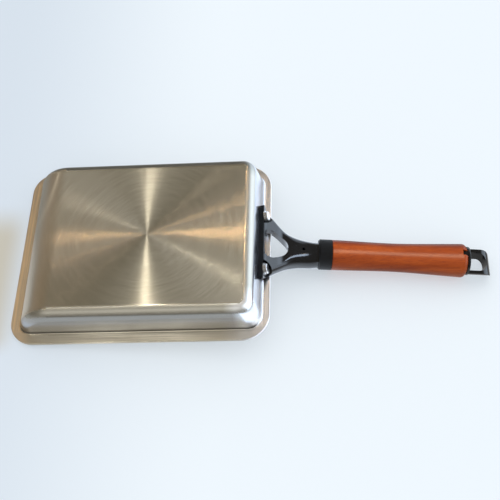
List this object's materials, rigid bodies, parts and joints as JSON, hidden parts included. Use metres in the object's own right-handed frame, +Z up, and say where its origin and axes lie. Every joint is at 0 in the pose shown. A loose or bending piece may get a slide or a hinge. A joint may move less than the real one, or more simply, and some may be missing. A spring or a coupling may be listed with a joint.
{
  "type": "tamagoyaki pan",
  "caption": "Shallow rectangular steel omelette pan with a rounded front end, a flat rim, a black fork bracket and a turned wooden handle with a hanging loop.",
  "frame": {"origin": "on the underside of the flat base, below the middle of the rim", "axes": "+X from the pan towards the handle, +Z up out of the pan, +Y to the left of someone looking along +X"},
  "size_m": [0.3545, 0.153, 0.0633],
  "materials": {
    "brushed_sheet": "brushed in circles on the base, polished walls",
    "gloss_phenolic": "gloss moulded black",
    "rivet_metal": "satin",
    "matt_collar": "matt moulded black",
    "varnished_wood": "turned, stained and varnished",
    "insert_brass": "machined",
    "zinc_steel": "zinc plated"
  },
  "bodies": {
    "root": {"pan_body": "brushed_sheet", "handle_bracket": "gloss_phenolic", "rivet_left": "rivet_metal", "rivet_right": "rivet_metal", "rivet_washer_left": "rivet_metal", "rivet_washer_right": "rivet_metal", "ferrule": "matt_collar", "grip": "varnished_wood", "end_cap": "gloss_phenolic", "cap_insert": "insert_brass", "tie_screw": "zinc_steel", "flat_washer": "zinc_steel", "lock_washer": "zinc_steel"}
  },
  "joints": []
}
